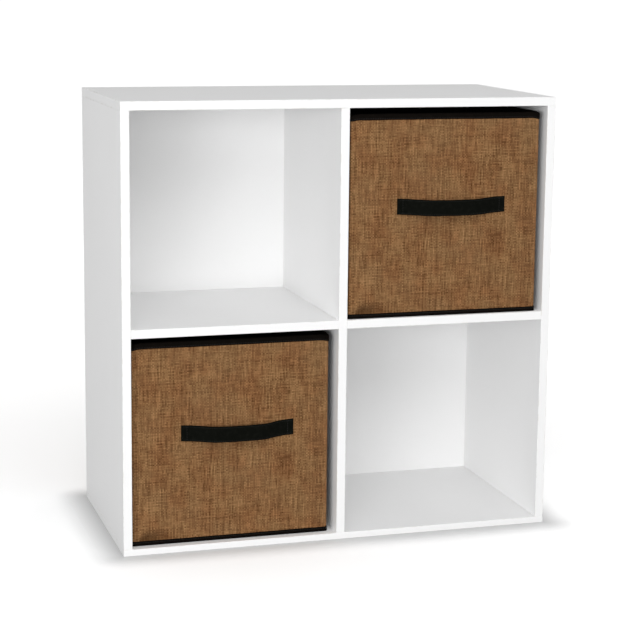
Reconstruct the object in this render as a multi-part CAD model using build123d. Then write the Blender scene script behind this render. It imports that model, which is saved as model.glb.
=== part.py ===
from build123d import *

import os

# A four-cube storage unit with two fabric bins, in millimetres.
# The origin is on the floor under the middle of the cabinet. +Z is up and the open front faces -Y.

# Cabinet
CABINET_WIDTH = 610.0
CABINET_HEIGHT = 610.0
CABINET_DEPTH = 296.0
BOARD = 12.0
BOTTOM_BOARD = 9.0
EDGE_RADIUS = 0.5
BACK_THICKNESS = 3.0
BACK_INSET = 12.3
BACK_SIDE_PLAY = 0.5
GROOVE_DEPTH = 4.0

# Fasteners. The places along Y and X count from the middle of the cabinet.
PLAY = 0.1
CAM_PLACES_Y = (-105.0, 95.0)
CAM_DISTANCE = 24.0
CAM_RADIUS = 6.0
CAM_HEIGHT = 9.0
CAM_SINK = 1.1
CAM_SLOT_LENGTH = 7.0
CAM_SLOT_WIDTH = 1.4
CAM_SLOT_DEPTH = 1.2
CAP_RADIUS = 7.0
CAP_HEIGHT = 0.8
CAP_ROUNDING = 0.5
CAP_PLUG_RADIUS = 5.4
CAP_PLUG_HEIGHT = 0.6
BOLT_THREAD_RADIUS = 2.5
BOLT_THREAD_DEPTH = 8.0
BOLT_SHANK_RADIUS = 2.0
BOLT_HEAD_RADIUS = 2.9
BOLT_HEAD_LENGTH = 4.5
BOLT_HEAD_START = 21.0
BOLT_COLLAR_RADIUS = 3.0
BOLT_ROOM_RADIUS = 3.1
BOLT_ROOM_PAST_CAM = 3.5
DOWEL_PLACES_Y = (-62.0, 52.0)
DOWEL_RADIUS = 3.0
DOWEL_LENGTH = 30.0
DOWEL_CHAMFER = 0.6
DOWEL_IN_FACE = 8.0
DOWEL_IN_BOTTOM = 5.0
DOWEL_IN_SHELF = 14.0
SCREW_RADIUS = 1.8
SCREW_LENGTH = 45.0
SCREW_HEAD_RADIUS = 4.0
SCREW_HEAD_HEIGHT = 2.4
SCREW_SINK = 0.3
SCREW_SLOT_LENGTH = 5.0
SCREW_SLOT_WIDTH = 0.9
SCREW_SLOT_DEPTH = 1.0
NAIL_RADIUS = 0.8
NAIL_LENGTH = 17.0
NAIL_HEAD_RADIUS = 2.4
NAIL_HEAD_HEIGHT = 0.6
DIVIDER_NAILS_Z = (70.0, 200.0, 410.0, 540.0)
SHELF_NAILS_X = (75.0, 215.0)

# Bins
BIN_WIDTH = 276.4
BIN_DEPTH = 267.5
BIN_HEIGHT = 280.0
CLOTH = 0.8
WALL_BOARD = 2.4
LINING = 0.6
BINDING = 0.7
RIM_BINDING_HEIGHT = 8.5
BOTTOM_BINDING_HEIGHT = 6.5
BOTTOM_BINDING_WIDTH = 10.0
HEM = 0.6
CORNER = 3.5
LINING_CORNER = 2.0
FRONT_WRAP = 5.2
FOLD_GAP = 2.0
CORNER_GAP = 2.8
STIFFENER_TOP_GAP = 1.2
STIFFENER_CORNER = 8.0
BASE_BOARD = 3.0
BASE_BOARD_PLAY = 0.8
UPPER_BIN_LEFT_GAP = 2.6
UPPER_BIN_RECESS = 5.0
LOWER_BIN_LEFT_GAP = 1.6
LOWER_BIN_RECESS = 12.4

# Strap handles
STRAP_LENGTH = 157.0
STRAP_HEIGHT = 22.0
STRAP_THICKNESS = 2.0
STRAP_STANDOFF = 13.0
STRAP_OFFSET_X = 8.5
STRAP_CENTRE_Z = 152.5
STRAP_TAB = 18.0
STRAP_RISE_LENGTH = 22.0
STRAP_MIDDLE_BOW = 3.0
STRAP_RADII = (22.0, 32.0, 150.0, 32.0, 22.0)
SEAM_FROM_END = 8.0
STITCHES_IN_SEAM = 6
STITCH_PITCH = 3.2
STITCH_LENGTH = 2.2
STITCH_WIDTH = 0.7
STITCH_HEIGHT = 0.35

# Derived places
FRONT_Y = -CABINET_DEPTH / 2
REAR_Y = CABINET_DEPTH / 2
BACK_FRONT_Y = REAR_Y - BACK_INSET - BACK_THICKNESS
BACK_REAR_Y = REAR_Y - BACK_INSET
SIDE_X = CABINET_WIDTH / 2
INNER_X = SIDE_X - BOARD
TOP_Z = CABINET_HEIGHT - BOARD
CUBE_HEIGHT = (TOP_Z - BOTTOM_BOARD - BOARD) / 2
SHELF_Z = BOTTOM_BOARD + CUBE_HEIGHT
SHELF_TOP_Z = SHELF_Z + BOARD
SHELF_MID_Z = SHELF_Z + BOARD / 2


def block(low, high):
    """A box between two opposite corners."""
    size = [b - a for a, b in zip(low, high)]
    return Pos(*low) * Box(*size, align=(Align.MIN, Align.MIN, Align.MIN))


def board(low, high):
    """A board with slightly eased edges."""
    sharp = block(low, high)
    return fillet(sharp.edges(), EDGE_RADIUS)


def rod(start, direction, radius, length):
    """A cylinder that starts at a point and runs along a direction."""
    place = Plane(origin=start, z_dir=direction)
    return place * Cylinder(radius, length, align=(Align.CENTER, Align.CENTER, Align.MIN))


def along(point, direction, distance):
    """The point that lies a distance away along a direction."""
    return tuple(p + distance * d for p, d in zip(point, direction))


def back(direction):
    """The opposite direction."""
    return tuple(-d for d in direction)


def cut(body, tools):
    """The body with every tool taken away."""
    for tool in tools:
        body = body - tool
    return body


def save(name, shape):
    """Writes one sub-part."""
    shape.label = name
    export_step(shape, f"parts/{name}.step")


def save_group(name, solids):
    """Writes several separate solids as one sub-part."""
    save(name, Compound(children=list(solids)))


# Fasteners. Each joint adds its own solids here, and the holes that its boards need.
cuts = {
    "top_panel": [],
    "bottom_panel": [],
    "left_side_panel": [],
    "right_side_panel": [],
    "centre_divider": [],
    "left_shelf": [],
    "right_shelf": [],
    "back_panel": [],
}
dowels = []
cam_bolts = []
through_bolts = []
cam_locks = []
cam_caps = []
bottom_screws = []
back_nails = []


def bolt_shank(point, into_edge):
    """The smooth part of a cam bolt with its head, from a joint face to the cam."""
    shank = rod(point, into_edge, BOLT_SHANK_RADIUS, BOLT_HEAD_START)
    head_start = along(point, into_edge, BOLT_HEAD_START)
    return shank + rod(head_start, into_edge, BOLT_HEAD_RADIUS, BOLT_HEAD_LENGTH)


def cam_lock(point, into_edge, cam_face, edge_board):
    """The cam drum and its cap, in a pocket that opens on one face of the edge board."""
    centre = along(point, into_edge, CAM_DISTANCE)
    mouth = along(centre, cam_face, BOARD / 2)
    inward = back(cam_face)
    drum_top = along(mouth, inward, CAM_SINK)
    bolt_room = rod(point, into_edge, BOLT_ROOM_RADIUS + PLAY, CAM_DISTANCE + BOLT_ROOM_PAST_CAM)
    drum = rod(drum_top, inward, CAM_RADIUS, CAM_HEIGHT) - bolt_room
    across = Plane(origin=drum_top, x_dir=into_edge, z_dir=inward)
    slots = (
        across * Box(CAM_SLOT_LENGTH, CAM_SLOT_WIDTH, 2 * CAM_SLOT_DEPTH),
        across * Box(CAM_SLOT_WIDTH, CAM_SLOT_LENGTH, 2 * CAM_SLOT_DEPTH),
    )
    cam_locks.append(cut(drum, slots))
    cap = rod(mouth, cam_face, CAP_RADIUS, CAP_HEIGHT)
    outer_rim = cap.edges().filter_by(GeomType.CIRCLE).sort_by(Axis(mouth, cam_face))[-1]
    cap = fillet(outer_rim, CAP_ROUNDING)
    cam_caps.append(cap + rod(mouth, inward, CAP_PLUG_RADIUS, CAP_PLUG_HEIGHT))
    cuts[edge_board].append(rod(point, into_edge, BOLT_ROOM_RADIUS, CAM_DISTANCE))
    cuts[edge_board].append(rod(mouth, inward, CAM_RADIUS + PLAY, CAM_SINK + CAM_HEIGHT + PLAY))


def cam_joint(point, into_edge, cam_face, face_board, edge_board):
    """A cam bolt screwed into the face board, and its cam in the edge board."""
    outward = back(into_edge)
    thread = rod(point, outward, BOLT_THREAD_RADIUS, BOLT_THREAD_DEPTH)
    cam_bolts.append(thread + bolt_shank(point, into_edge))
    cuts[face_board].append(rod(point, outward, BOLT_THREAD_RADIUS + PLAY, BOLT_THREAD_DEPTH + PLAY))
    cam_lock(point, into_edge, cam_face, edge_board)


def dowel_joint(point, into_edge, face_board, edge_board, depth_in_face):
    """A wood dowel, a little way into the face board and the rest in the edge board."""
    outward = back(into_edge)
    depth_in_edge = DOWEL_LENGTH - depth_in_face
    peg = rod(along(point, outward, depth_in_face), into_edge, DOWEL_RADIUS, DOWEL_LENGTH)
    dowels.append(chamfer(peg.edges(), DOWEL_CHAMFER))
    cuts[face_board].append(rod(point, outward, DOWEL_RADIUS + PLAY, depth_in_face + PLAY))
    cuts[edge_board].append(rod(point, into_edge, DOWEL_RADIUS + PLAY, depth_in_edge + PLAY))


def upright_cone(point, bottom_radius, top_radius, height):
    """A cone that stands on a point."""
    on_its_base = (Align.CENTER, Align.CENTER, Align.MIN)
    return Pos(*point) * Cone(bottom_radius, top_radius, height, align=on_its_base)


def countersunk_screw(point, edge_board):
    """A screw up through the bottom panel, with its head a little under flush."""
    up = (0, 0, 1)
    start = along(point, up, SCREW_SINK)
    slots = (
        Pos(*start) * Box(SCREW_SLOT_LENGTH, SCREW_SLOT_WIDTH, 2 * SCREW_SLOT_DEPTH),
        Pos(*start) * Box(SCREW_SLOT_WIDTH, SCREW_SLOT_LENGTH, 2 * SCREW_SLOT_DEPTH),
    )
    head = cut(upright_cone(start, SCREW_HEAD_RADIUS, SCREW_RADIUS, SCREW_HEAD_HEIGHT), slots)
    shank_start = along(start, up, SCREW_HEAD_HEIGHT)
    bottom_screws.append(head + rod(shank_start, up, SCREW_RADIUS, SCREW_LENGTH - SCREW_HEAD_HEIGHT))
    hole_radius = SCREW_RADIUS + PLAY
    sink = upright_cone(point, SCREW_HEAD_RADIUS + 4 * PLAY, hole_radius, SCREW_HEAD_HEIGHT + 4 * PLAY)
    cuts["bottom_panel"].append(sink + rod(point, up, hole_radius, BOTTOM_BOARD))
    cuts[edge_board].append(rod(point, up, hole_radius, SCREW_LENGTH + SCREW_SINK + PLAY))


def back_nail(x, z, edge_board):
    """A nail through the back panel into the rear edge of a board."""
    start = (x, BACK_REAR_Y, z)
    backward = (0, 1, 0)
    forward = (0, -1, 0)
    head = rod(start, backward, NAIL_HEAD_RADIUS, NAIL_HEAD_HEIGHT)
    back_nails.append(head + rod(start, forward, NAIL_RADIUS, NAIL_LENGTH))
    cuts["back_panel"].append(rod(start, forward, NAIL_RADIUS + PLAY, BACK_THICKNESS))
    cuts[edge_board].append(rod(start, forward, NAIL_RADIUS + PLAY, NAIL_LENGTH + PLAY))


def place_fasteners():
    """All joints of the cabinet."""
    up, down, left, right = (0, 0, 1), (0, 0, -1), (-1, 0, 0), (1, 0, 0)
    uprights = (
        ("left_side_panel", BOARD / 2 - SIDE_X, right),
        ("centre_divider", 0.0, right),
        ("right_side_panel", SIDE_X - BOARD / 2, left),
    )
    for upright, x, inside in uprights:
        for y in CAM_PLACES_Y:
            cam_joint((x, y, TOP_Z), down, inside, "top_panel", upright)
            countersunk_screw((x, y, 0.0), upright)
        for y in DOWEL_PLACES_Y:
            dowel_joint((x, y, TOP_Z), down, "top_panel", upright, DOWEL_IN_FACE)
            dowel_joint((x, y, BOTTOM_BOARD), up, "bottom_panel", upright, DOWEL_IN_BOTTOM)
    shelves = (("left_shelf", "left_side_panel", -1, right), ("right_shelf", "right_side_panel", 1, left))
    for shelf, side, sign, inward in shelves:
        for y in CAM_PLACES_Y:
            cam_joint((sign * INNER_X, y, SHELF_MID_Z), inward, down, side, shelf)
            cam_lock((sign * BOARD / 2, y, SHELF_MID_Z), back(inward), down, shelf)
        for y in DOWEL_PLACES_Y:
            dowel_joint((sign * INNER_X, y, SHELF_MID_Z), inward, side, shelf, DOWEL_IN_FACE)
        for offset in SHELF_NAILS_X:
            back_nail(sign * offset, SHELF_MID_Z, shelf)
    for y in CAM_PLACES_Y:
        ends = [bolt_shank((sign * BOARD / 2, y, SHELF_MID_Z), (sign, 0, 0)) for sign in (-1, 1)]
        collar_start = (-BOARD / 2, y, SHELF_MID_Z)
        through_bolts.append(rod(collar_start, right, BOLT_COLLAR_RADIUS, BOARD) + ends[0] + ends[1])
        cuts["centre_divider"].append(rod(collar_start, right, BOLT_COLLAR_RADIUS + PLAY, BOARD))
    for y in DOWEL_PLACES_Y:
        reach = BOARD / 2 + DOWEL_IN_SHELF
        peg = rod((-reach, y, SHELF_MID_Z), right, DOWEL_RADIUS, 2 * reach)
        dowels.append(chamfer(peg.edges(), DOWEL_CHAMFER))
        hole = rod((-reach - PLAY, y, SHELF_MID_Z), right, DOWEL_RADIUS + PLAY, 2 * (reach + PLAY))
        for name in ("left_shelf", "centre_divider", "right_shelf"):
            cuts[name].append(hole)
    for z in DIVIDER_NAILS_Z:
        back_nail(0.0, z, "centre_divider")


def make_cabinet():
    """The boards of the cabinet, its back and its fasteners."""
    place_fasteners()
    groove_low_y = BACK_FRONT_Y - PLAY
    groove_high_y = BACK_REAR_Y + PLAY
    groove_x = INNER_X + GROOVE_DEPTH
    groove_low_z = BOTTOM_BOARD - GROOVE_DEPTH
    groove_high_z = TOP_Z + GROOVE_DEPTH
    groove = block((-groove_x, groove_low_y, groove_low_z), (groove_x, groove_high_y, groove_high_z))
    shelf_rear_y = groove_low_y
    boards = {
        "top_panel": board((-SIDE_X, FRONT_Y, TOP_Z), (SIDE_X, REAR_Y, CABINET_HEIGHT)) - groove,
        "bottom_panel": board((-SIDE_X, FRONT_Y, 0), (SIDE_X, REAR_Y, BOTTOM_BOARD)) - groove,
        "left_side_panel": board((-SIDE_X, FRONT_Y, BOTTOM_BOARD), (-INNER_X, REAR_Y, TOP_Z)) - groove,
        "right_side_panel": board((INNER_X, FRONT_Y, BOTTOM_BOARD), (SIDE_X, REAR_Y, TOP_Z)) - groove,
        "centre_divider": board((-BOARD / 2, FRONT_Y, BOTTOM_BOARD), (BOARD / 2, shelf_rear_y, TOP_Z)),
        "left_shelf": board((-INNER_X, FRONT_Y, SHELF_Z), (-BOARD / 2, shelf_rear_y, SHELF_TOP_Z)),
        "right_shelf": board((BOARD / 2, FRONT_Y, SHELF_Z), (INNER_X, shelf_rear_y, SHELF_TOP_Z)),
        "back_panel": block(
            (BACK_SIDE_PLAY - groove_x, BACK_FRONT_Y, groove_low_z + BACK_SIDE_PLAY),
            (groove_x - BACK_SIDE_PLAY, BACK_REAR_Y, groove_high_z - BACK_SIDE_PLAY),
        ),
    }
    for name, shape in boards.items():
        save(name, cut(shape, cuts[name]))
    save_group("wood_dowels", dowels)
    save_group("cam_bolts", cam_bolts)
    save_group("divider_bolts", through_bolts)
    save_group("cam_locks", cam_locks)
    save_group("cam_caps", cam_caps)
    save_group("bottom_screws", bottom_screws)
    save_group("back_nails", back_nails)


def post(half_x, half_y, low_z, high_z, radius):
    """An upright block round the bin's axis, with rounded corners."""
    sharp = block((-half_x, -half_y, low_z), (half_x, half_y, high_z))
    return fillet(sharp.edges().filter_by(Axis.Z), radius)


def ring(half_x, half_y, low_z, high_z, wall, radius, inner_radius):
    """Four upright walls round a rectangle, given by its outer half sizes and corner radii."""
    outer = post(half_x, half_y, low_z, high_z, radius)
    return outer - post(half_x - wall, half_y - wall, low_z, high_z, inner_radius)


def stiffener(low, high, across, outer_end):
    """A wall board with a rounded top corner at its outer end, or at both ends where it is whole."""
    sharp = block(low, high)
    corners = sharp.edges().filter_by(across).group_by(Axis.Z)[-1]
    if outer_end is not None:
        corners = corners.sort_by(Axis.Y)[outer_end]
    return fillet(corners, STIFFENER_CORNER)


def strap_handle(front_y):
    """A strap that lies flat on the front at both ends and bows out between them."""
    half = STRAP_LENGTH / 2
    flat_y = front_y - STRAP_THICKNESS / 2
    shoulder_x = half - STRAP_TAB - STRAP_RISE_LENGTH
    shoulder_y = front_y - STRAP_STANDOFF + STRAP_MIDDLE_BOW
    points = [
        (-half, flat_y),
        (STRAP_TAB - half, flat_y),
        (-shoulder_x, shoulder_y),
        (0.0, front_y - STRAP_STANDOFF),
        (shoulder_x, shoulder_y),
        (half - STRAP_TAB, flat_y),
        (half, flat_y),
    ]
    path = FilletPolyline(*points, radius=list(STRAP_RADII))
    start = Plane(origin=path @ 0, x_dir=(0, 0, 1), z_dir=path % 0)
    section = start * Rectangle(STRAP_HEIGHT, STRAP_THICKNESS)
    strap = sweep(section, path=path)
    return Pos(STRAP_OFFSET_X, 0, STRAP_CENTRE_Z) * strap


def strap_stitches(front_y):
    """One upright row of stitches across each sewn end of the strap."""
    stitches = []
    outer_y = front_y - STRAP_THICKNESS
    for sign in (-1, 1):
        x = STRAP_OFFSET_X + sign * (STRAP_LENGTH / 2 - SEAM_FROM_END)
        for step in range(STITCHES_IN_SEAM):
            z = STRAP_CENTRE_Z + STITCH_PITCH * (step - (STITCHES_IN_SEAM - 1) / 2)
            low = (x - STITCH_WIDTH / 2, outer_y - STITCH_HEIGHT, z - STITCH_LENGTH / 2)
            high = (x + STITCH_WIDTH / 2, outer_y, z + STITCH_LENGTH / 2)
            stitches.append(block(low, high))
    return stitches


def make_bin(prefix, left_x, front_y, floor_z):
    """One fabric bin. left_x, front_y and floor_z are the outermost faces of its edging."""
    half_x = BIN_WIDTH / 2
    half_y = BIN_DEPTH / 2
    place = Pos(left_x + half_x, front_y + half_y, floor_z)
    cloth_x = half_x - BINDING
    cloth_y = half_y - BINDING
    board_x = cloth_x - CLOTH
    board_y = cloth_y - CLOTH
    lining_x = board_x - WALL_BOARD
    lining_y = board_y - WALL_BOARD
    inside_x = lining_x - LINING
    inside_y = lining_y - LINING
    base_x = inside_x - BINDING - BASE_BOARD_PLAY
    base_y = inside_y - BINDING - BASE_BOARD_PLAY
    floor_top = HEM + CLOTH
    rim = BIN_HEIGHT - BINDING
    board_top = rim - STIFFENER_TOP_GAP
    end_x = board_x - CORNER_GAP
    end_y = board_y - CORNER_GAP

    cloth = ring(cloth_x, cloth_y, HEM, rim, CLOTH, CORNER, CORNER - CLOTH)
    front_zone = block((-half_x, -half_y, 0), (half_x, FRONT_WRAP - cloth_y, BIN_HEIGHT))
    binding_low_z = BIN_HEIGHT - RIM_BINDING_HEIGHT
    rim_wall = half_x - inside_x + BINDING
    tape = ring(half_x, half_y, binding_low_z, BIN_HEIGHT, rim_wall, CORNER + BINDING, BINDING)
    wall_slot = ring(cloth_x, cloth_y, binding_low_z, rim, cloth_x - inside_x, CORNER, LINING_CORNER - LINING)
    edge_binding = ring(half_x, half_y, 0, BOTTOM_BINDING_HEIGHT, BINDING, CORNER + BINDING, CORNER)
    hem = ring(cloth_x, cloth_y, 0, HEM, BOTTOM_BINDING_WIDTH, CORNER, BINDING)
    pieces = {
        "front_cloth": cloth & front_zone,
        "side_cloth": cloth - front_zone,
        "front_board": stiffener((-end_x, -board_y, floor_top), (end_x, -lining_y, board_top), Axis.Y, None),
        "back_board": stiffener((-end_x, lining_y, floor_top), (end_x, board_y, board_top), Axis.Y, None),
        "lining": ring(lining_x, lining_y, floor_top, rim, LINING, LINING_CORNER, LINING_CORNER - LINING),
        "floor_cloth": post(board_x, board_y, HEM, floor_top, CORNER - CLOTH),
        "rim_binding": tape - wall_slot,
        "edge_binding": edge_binding + hem,
        "base_board": board((-base_x, -base_y, floor_top), (base_x, base_y, floor_top + BASE_BOARD)),
        "handle_strap": strap_handle(-cloth_y),
    }
    for piece, shape in pieces.items():
        save(f"{prefix}_{piece}", place * shape)
    for side, sign in (("left", -1), ("right", 1)):
        near_x, far_x = sorted((sign * lining_x, sign * board_x))
        halves = [
            stiffener((near_x, -end_y, floor_top), (far_x, -FOLD_GAP / 2, board_top), Axis.X, 0),
            stiffener((near_x, FOLD_GAP / 2, floor_top), (far_x, end_y, board_top), Axis.X, -1),
        ]
        save_group(f"{prefix}_{side}_boards", [place * half for half in halves])
    save_group(f"{prefix}_strap_stitches", [place * stitch for stitch in strap_stitches(-cloth_y)])


os.makedirs("parts", exist_ok=True)
make_cabinet()
make_bin("upper_bin", BOARD / 2 + UPPER_BIN_LEFT_GAP, FRONT_Y + UPPER_BIN_RECESS, SHELF_TOP_Z)
make_bin("lower_bin", LOWER_BIN_LEFT_GAP - INNER_X, FRONT_Y + LOWER_BIN_RECESS, BOTTOM_BOARD)
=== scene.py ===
import math

import bmesh
import bpy
import numpy as np
from mathutils import Matrix, Vector, noise


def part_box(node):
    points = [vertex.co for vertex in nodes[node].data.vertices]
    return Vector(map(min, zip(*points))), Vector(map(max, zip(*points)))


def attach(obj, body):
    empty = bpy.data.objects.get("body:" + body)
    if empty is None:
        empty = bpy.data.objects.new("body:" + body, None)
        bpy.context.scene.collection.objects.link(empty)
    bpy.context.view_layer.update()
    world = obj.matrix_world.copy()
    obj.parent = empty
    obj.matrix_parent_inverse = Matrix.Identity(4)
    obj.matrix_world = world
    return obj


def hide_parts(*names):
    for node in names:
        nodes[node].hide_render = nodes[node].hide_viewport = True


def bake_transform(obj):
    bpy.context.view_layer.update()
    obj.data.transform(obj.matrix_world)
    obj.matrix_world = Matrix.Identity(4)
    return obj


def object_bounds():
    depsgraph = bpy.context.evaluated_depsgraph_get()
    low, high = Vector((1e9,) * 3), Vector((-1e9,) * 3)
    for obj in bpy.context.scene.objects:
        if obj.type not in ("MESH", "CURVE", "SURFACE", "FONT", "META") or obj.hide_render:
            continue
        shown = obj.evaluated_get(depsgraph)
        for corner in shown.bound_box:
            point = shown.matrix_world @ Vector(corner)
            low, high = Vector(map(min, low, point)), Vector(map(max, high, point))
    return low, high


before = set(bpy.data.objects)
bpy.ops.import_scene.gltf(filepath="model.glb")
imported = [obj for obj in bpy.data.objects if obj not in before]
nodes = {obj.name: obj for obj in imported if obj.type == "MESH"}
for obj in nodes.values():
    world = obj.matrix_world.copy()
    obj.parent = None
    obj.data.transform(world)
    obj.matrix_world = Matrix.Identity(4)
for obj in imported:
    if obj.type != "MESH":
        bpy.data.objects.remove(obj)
cad_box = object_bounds()
scene = bpy.context.scene

MM = 0.001

# Cloth, boards and edging of the bins
CLOTH = 0.8 * MM
WALL_BOARD = 2.4 * MM
LINING = 0.6 * MM
TAPE = 0.7 * MM
CORNER = 3.5 * MM
TIGHTEST_CORNER = 0.7 * MM
RIM_TAPE_HEIGHT = 8.5 * MM
EDGE_TAPE_HEIGHT = 6.5 * MM
EDGE_TAPE_WIDTH = 10 * MM
HEM = 0.6 * MM
RIM_DROP = 1.8 * MM
RIM_DROP_LENGTH = 12 * MM
RIM_DROP_HEIGHT = 40 * MM
WARP_PITCH = 2.15 * MM
WEFT_PITCH = 2.05 * MM
DIMPLE_PITCH = 2.4 * MM

# How finely the bins' meshes are divided
ARC_STEPS = 6
LOOP_STEPS = (32, 64, 64, 64, 32)
FRONT_STEPS = (2, 76, 2)
SIDE_STEPS = (72, 56, 72)
WALL_LEVELS = 76
SLAB_MARKS = 55
STRAP_MARKS = 121

# Strap handles
STRAP_BOW = 13 * MM
STRAP_SAG = 2.6 * MM
STRAP_THICKNESS = 2 * MM
SEAM_FROM_END = 8 * MM

# Stitches
STITCH_PITCH = 3.3 * MM
STITCH_LENGTH = 2.4 * MM
STITCH_RADIUS = 0.28 * MM


def add_object(name, data):
    """A new object in the scene."""
    added = bpy.data.objects.new(name, data)
    scene.collection.objects.link(added)
    return added


def smooth(value):
    """Rises smoothly from 0 to 1 as the value does, and stays there."""
    share = np.clip(value, 0, 1)
    return share * share * (3 - 2 * share)


def wander(places, size, seed):
    """Smooth noise between about -1 and 1 at each place, with features of the given size."""
    shift = Vector((17.3, 5.1, 9.7)) * seed
    flat = np.asarray(places, float).reshape(-1, np.shape(places)[-1])
    values = [noise.noise(Vector((p[0] / size, p[1] / size, 0)) + shift) for p in flat]
    return np.array(values).reshape(np.shape(places)[:-1])


# ---- camera, light and floor ----

CAMERA_PLACE = Vector((-0.737, -2.455, 0.774))
CAMERA_TURN = math.radians(16.96)
CAMERA_TILT = math.radians(9.84)
CAMERA_ROLL = math.radians(0.60)
CAMERA_LENS = 101.8
CAMERA_SHIFT_Y = -0.05

LIGHTS_AIM = Vector((0.0, 0.0, 0.3))

# The floor has a painted shadow where it meets the cabinet, and glows of itself (painted light), more far
# from it
CABINET_HALF_DEPTH = (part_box("left_side_panel")[1].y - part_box("left_side_panel")[0].y) / 2
CONTACT_SHADOW_START = -20 * MM
CONTACT_SHADOW_END = 60 * MM
FLOOR_HALF_SIZE = 80.0
GLOW_NEAR = 0.33
GLOW_FAR = 0.62
GLOW_REACH = 2.5


def make_camera():
    """Looks to the back and to the right, and a little down."""
    level = Vector((math.sin(CAMERA_TURN), math.cos(CAMERA_TURN), 0))
    right = Vector((math.cos(CAMERA_TURN), -math.sin(CAMERA_TURN), 0))
    up = Vector((0, 0, 1))
    forward = level * math.cos(CAMERA_TILT) - up * math.sin(CAMERA_TILT)
    above = up * math.cos(CAMERA_TILT) + level * math.sin(CAMERA_TILT)
    x_axis = right * math.cos(CAMERA_ROLL) + above * math.sin(CAMERA_ROLL)
    y_axis = above * math.cos(CAMERA_ROLL) - right * math.sin(CAMERA_ROLL)
    camera = add_object("camera", bpy.data.cameras.new("camera"))
    turn = Matrix((x_axis, y_axis, -forward)).transposed()
    camera.matrix_world = Matrix.Translation(CAMERA_PLACE) @ turn.to_4x4()
    camera.data.lens = CAMERA_LENS
    camera.data.shift_y = CAMERA_SHIFT_Y
    camera.data.clip_end = 200
    scene.camera = camera


def soft_light(name, place, width, height, power):
    """A large rectangular light that faces the cabinet. Its power is in watts."""
    light = bpy.data.lights.new(name, "AREA")
    light.shape = "RECTANGLE"
    light.size = width
    light.size_y = height
    light.energy = power
    lamp = add_object(name, light)
    facing = (LIGHTS_AIM - Vector(place)).to_track_quat("-Z", "Y")
    lamp.matrix_world = Matrix.Translation(Vector(place)) @ facing.to_matrix().to_4x4()


def make_world():
    """White at the height of the horizon, dim between it and a brighter ceiling, and dim below."""
    world = bpy.data.worlds.new("studio")
    world.use_nodes = True
    scene.world = world
    tree = world.node_tree
    place = tree.nodes.new("ShaderNodeTexCoord")
    parts = tree.nodes.new("ShaderNodeSeparateXYZ")
    tones = tree.nodes.new("ShaderNodeValToRGB")
    tree.links.new(place.outputs["Generated"], parts.inputs[0])
    height = tree.nodes.new("ShaderNodeMapRange")
    height.inputs["From Min"].default_value = -1.0
    tree.links.new(parts.outputs["Z"], height.inputs["Value"])
    tree.links.new(height.outputs[0], tones.inputs[0])
    # Each stop is a height, from 0 straight down to 1 straight up, and a tone
    stops = ((0.47, 0.2), (0.485, 1.0), (0.56, 1.0), (0.59, 0.22), (0.71, 0.22), (0.79, 0.56))
    ramp = tones.color_ramp
    for _ in range(len(stops) - len(ramp.elements)):
        ramp.elements.new(0.5)
    for element, (position, tone) in zip(ramp.elements, stops):
        element.position = position
        element.color = grey(tone)
    tree.links.new(tones.outputs[0], tree.nodes["Background"].inputs["Color"])


def make_floor():
    """A pale floor that glows of itself (painted light), more further out, with a painted soft shadow where
    it meets the cabinet.
    """
    size = FLOOR_HALF_SIZE
    corners = [(-size, -size, 0), (size, -size, 0), (size, size, 0), (-size, size, 0)]
    mesh = bpy.data.meshes.new("floor")
    mesh.from_pydata(corners, [], [(0, 1, 2, 3)])
    floor = add_object("floor", mesh)
    floor.visible_diffuse = False
    finish = Finish("floor", {"Roughness": 0.9, "Specular IOR Level": 0.0})
    finish.shader.inputs["Emission Color"].default_value = grey(1)

    def squared_past(coordinate, edge):
        """The square of how far a coordinate is past the cabinet's edge on either side."""
        past = finish.less(finish.calc("ABSOLUTE", coordinate), edge)
        return finish.calc("POWER", finish.calc("MAXIMUM", past, 0.0), 2.0)

    x, y, _ = finish.split(finish.place())
    squares = finish.total(squared_past(x, cad_box[1][0]), squared_past(y, CABINET_HALF_DEPTH))
    distance = finish.calc("SQRT", squares)
    inputs = {"Value": distance, "From Max": GLOW_REACH, "To Min": GLOW_NEAR, "To Max": GLOW_FAR}
    # Painted shadow: the floor is greyer and glows less within a few centimetres of the cabinet
    outside_painted_shadow = finish.fade(distance, CONTACT_SHADOW_START, CONTACT_SHADOW_END)
    painted_glow = finish.scaled(finish.node("MapRange", inputs), outside_painted_shadow)
    finish.tree.links.new(painted_glow, finish.shader.inputs["Emission Strength"])
    tone = finish.mix(finish.noise(finish.place(), 3.0), grey(0.86), grey(0.88))
    finish.colour(finish.mix(outside_painted_shadow, grey(0.52), tone))
    mesh.materials.append(finish.material)


# ---- materials ----


def srgb(red, green, blue):
    """A colour as it shows on a screen, from 0 to 255, as the linear colour that a shader takes."""
    shares = (channel / 255 for channel in (red, green, blue))
    return (*(s / 12.92 if s <= 0.04045 else ((s + 0.055) / 1.055) ** 2.4 for s in shares), 1.0)


def grey(value):
    """A linear grey."""
    return (value, value, value, 1.0)


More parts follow.
